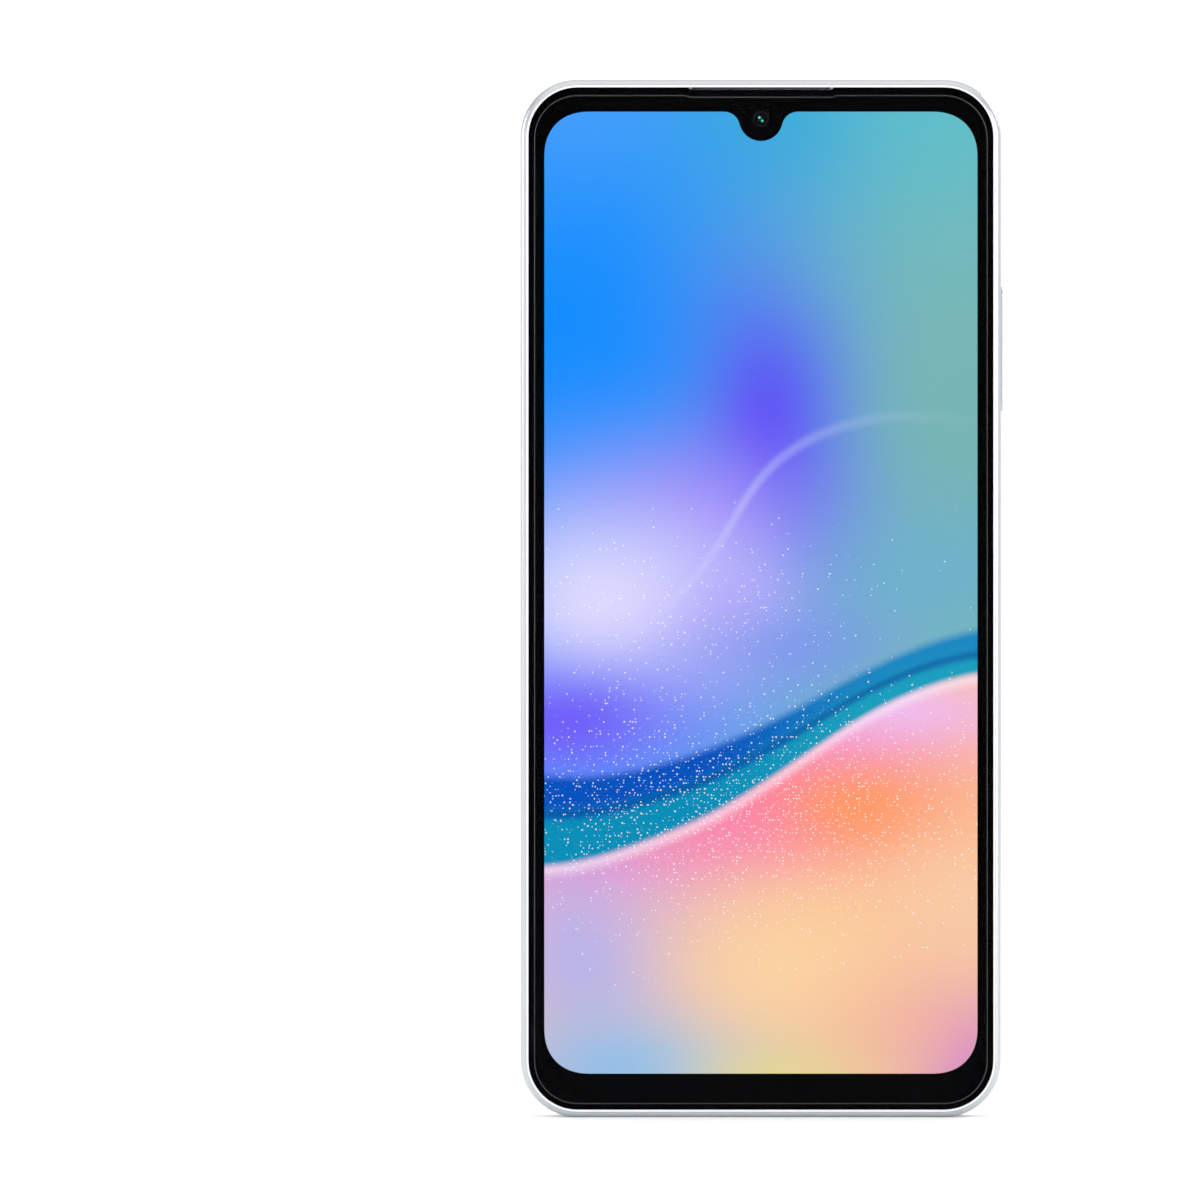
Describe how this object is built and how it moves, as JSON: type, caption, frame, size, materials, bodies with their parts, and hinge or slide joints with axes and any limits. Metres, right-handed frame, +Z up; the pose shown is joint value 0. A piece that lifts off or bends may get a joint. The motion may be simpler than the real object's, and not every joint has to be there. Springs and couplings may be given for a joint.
{
  "type": "smartphone",
  "caption": "Slab touch-screen phone with rounded corners, notched screen, rear camera rings in a column, side keys, card tray and a jack and charging port in the bottom edge.",
  "frame": {"origin": "middle of the bottom edge, where the upright phone stands", "axes": "+Z up along the phone's height, +X towards the key side as seen from the front, -Y out of the screen and +Y out of the back"},
  "size_m": [0.0783, 0.0099, 0.168],
  "materials": {
    "silver_frame": "silver lacquer, satin",
    "white_rim": "bright moulded plastic",
    "screen_glass": "polished, black printed border",
    "tape": "foam tape",
    "display": "lit display cell",
    "diffuser": "white diffuser",
    "flex": "polyimide film",
    "mesh": "woven mesh",
    "black_plastic": "moulded",
    "grey_plastic": "moulded",
    "back_silver": "pearl silver, glossy",
    "ring_metal": "anodised, polished edges",
    "camera_glass": "polished, black printed back",
    "flash_diffuser": "frosted lens",
    "led_phosphor": "phosphor",
    "circuit_board": "solder resist",
    "shield_steel": "tinned",
    "chip": "moulded package",
    "connector": "moulded",
    "steel": "stamped",
    "battery_foil": "laminated pouch",
    "cable": "jacket",
    "brass": "turned",
    "magnet": "nickel plated",
    "membrane": "film and copper coil",
    "sensor": "coated"
  },
  "bodies": {
    "phone_body": {"side_frame": "silver_frame", "front_frame": "white_rim", "cover_glass": "screen_glass", "glass_tape": "tape", "display_panel": "display", "backlight": "diffuser", "display_flex": "flex", "earpiece_mesh": "mesh", "earpiece": "black_plastic", "front_camera": "black_plastic", "back_cover": "back_silver", "cover_tape": "tape", "camera_ring_top": "ring_metal", "camera_ring_middle": "ring_metal", "camera_ring_bottom": "ring_metal", "camera_glass_top": "camera_glass", "camera_glass_middle": "camera_glass", "camera_glass_bottom": "camera_glass", "wide_camera": "black_plastic", "main_camera": "black_plastic", "macro_camera": "black_plastic", "flash_lens": "flash_diffuser", "flash_led": "led_phosphor", "camera_flexes": "flex", "main_board": "circuit_board", "board_shields": "shield_steel", "board_chips": "chip", "board_connectors": "connector", "sim_socket": "steel", "upper_bracket": "grey_plastic", "lower_bracket": "grey_plastic", "battery": "battery_foil", "battery_tape": "tape", "battery_board": "circuit_board", "main_flex": "flex", "antenna_cable": "cable", "sub_board": "circuit_board", "usb_shell": "steel", "usb_tongue": "black_plastic", "headphone_jack": "black_plastic", "bottom_microphone": "shield_steel", "top_microphone": "shield_steel", "speaker_box": "grey_plastic", "speaker_cover": "grey_plastic", "speaker_magnet": "magnet", "speaker_mesh": "mesh", "motor_housing": "steel", "key_flex": "flex", "screw_nuts": "brass", "screws": "steel"},
    "volume_key": {"volume_key": "silver_frame"},
    "power_key": {"power_key": "silver_frame", "fingerprint_sensor": "sensor"},
    "sim_tray": {"sim_tray": "silver_frame"},
    "eject_rod": {"eject_rod": "steel"},
    "eject_lever": {"eject_lever": "steel"},
    "vibration_rotor": {"vibration_rotor": "brass"},
    "focus_lens": {"focus_lens": "grey_plastic"},
    "speaker_diaphragm": {"speaker_diaphragm": "membrane"}
  },
  "joints": [
    {"name": "volume_key_rock", "type": "hinge", "parent": "phone_body", "child": "volume_key", "pos_m": [0.03675, 0.0005, 0.1245], "axis": [0, 1, 0], "range_deg": [-1.3, 1.3], "stiffness_Nm_per_rad": 0.12},
    {"name": "power_key_press", "type": "slide", "parent": "phone_body", "child": "power_key", "axis": [-1, 0, 0], "range_m": [0, 0.00025], "stiffness_N_per_m": 2000},
    {"name": "sim_tray_slide", "type": "slide", "parent": "phone_body", "child": "sim_tray", "axis": [-1, 0, 0], "range_m": [0, 0.026]},
    {"name": "eject_rod_push", "type": "slide", "parent": "phone_body", "child": "eject_rod", "axis": [1, 0, 0], "range_m": [0, 0.0013]},
    {"name": "eject_lever_swing", "type": "hinge", "parent": "phone_body", "child": "eject_lever", "pos_m": [-0.0082, 0.00065, 0.145], "axis": [0, 1, 0], "range_deg": [0, 16.5]},
    {"name": "vibration_rotor_spin", "type": "hinge", "parent": "phone_body", "child": "vibration_rotor", "pos_m": [-0.0306, -0.0001, 0.0162], "axis": [0, 1, 0], "continuous": true},
    {"name": "focus_lens_travel", "type": "slide", "parent": "phone_body", "child": "focus_lens", "axis": [0, 1, 0], "range_m": [0, 0.0003], "stiffness_N_per_m": 60},
    {"name": "speaker_diaphragm_travel", "type": "slide", "parent": "phone_body", "child": "speaker_diaphragm", "axis": [0, 1, 0], "range_m": [-0.00025, 0.00025], "stiffness_N_per_m": 1000}
  ],
  "couplings": [
    {"joint": "eject_lever_swing", "follows": "eject_rod_push", "rad_per_m": 217.39}
  ]
}
